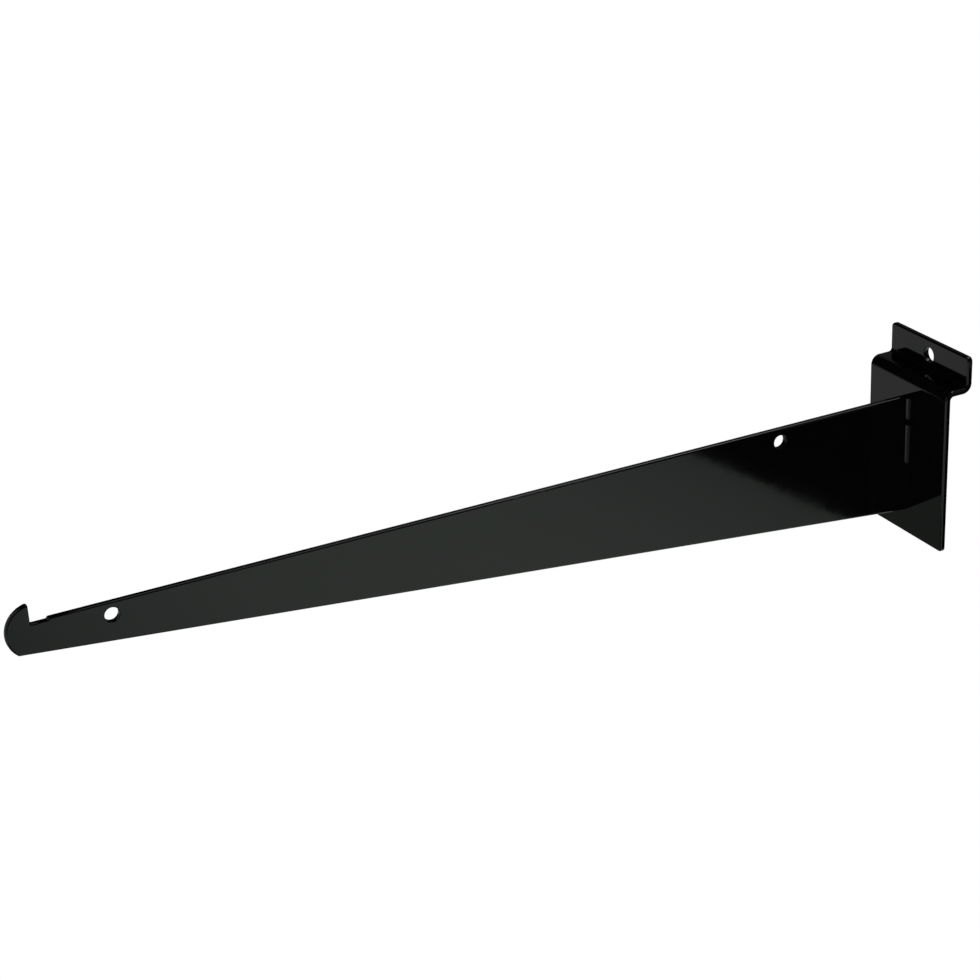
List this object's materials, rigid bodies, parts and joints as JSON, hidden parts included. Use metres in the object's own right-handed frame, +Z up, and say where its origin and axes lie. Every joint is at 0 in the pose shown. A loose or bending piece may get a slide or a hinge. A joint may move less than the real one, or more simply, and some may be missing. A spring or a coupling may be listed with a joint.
{
  "type": "slatwall shelf bracket",
  "caption": "Tapered steel shelf bracket with a folded plate that hooks into a slatwall groove and an upturned nose that keeps the shelf from sliding off.",
  "frame": {"origin": "on the wall plate's back face, in the blade's middle plane, at shelf level, the height of the blade's top edge", "axes": "+Y points at the wall, -Y runs along the blade to its nose, +Z is up, and X runs across the wall plate"},
  "size_m": [0.04, 0.3101, 0.0657],
  "materials": {
    "painted_sheet": "gloss black paint",
    "painted_weld": "gloss black paint over a weld bead"
  },
  "bodies": {
    "root": {"blade": "painted_sheet", "wall_plate": "painted_sheet", "upper_weld_right": "painted_weld", "lower_weld_right": "painted_weld", "upper_weld_left": "painted_weld", "lower_weld_left": "painted_weld"}
  },
  "joints": []
}
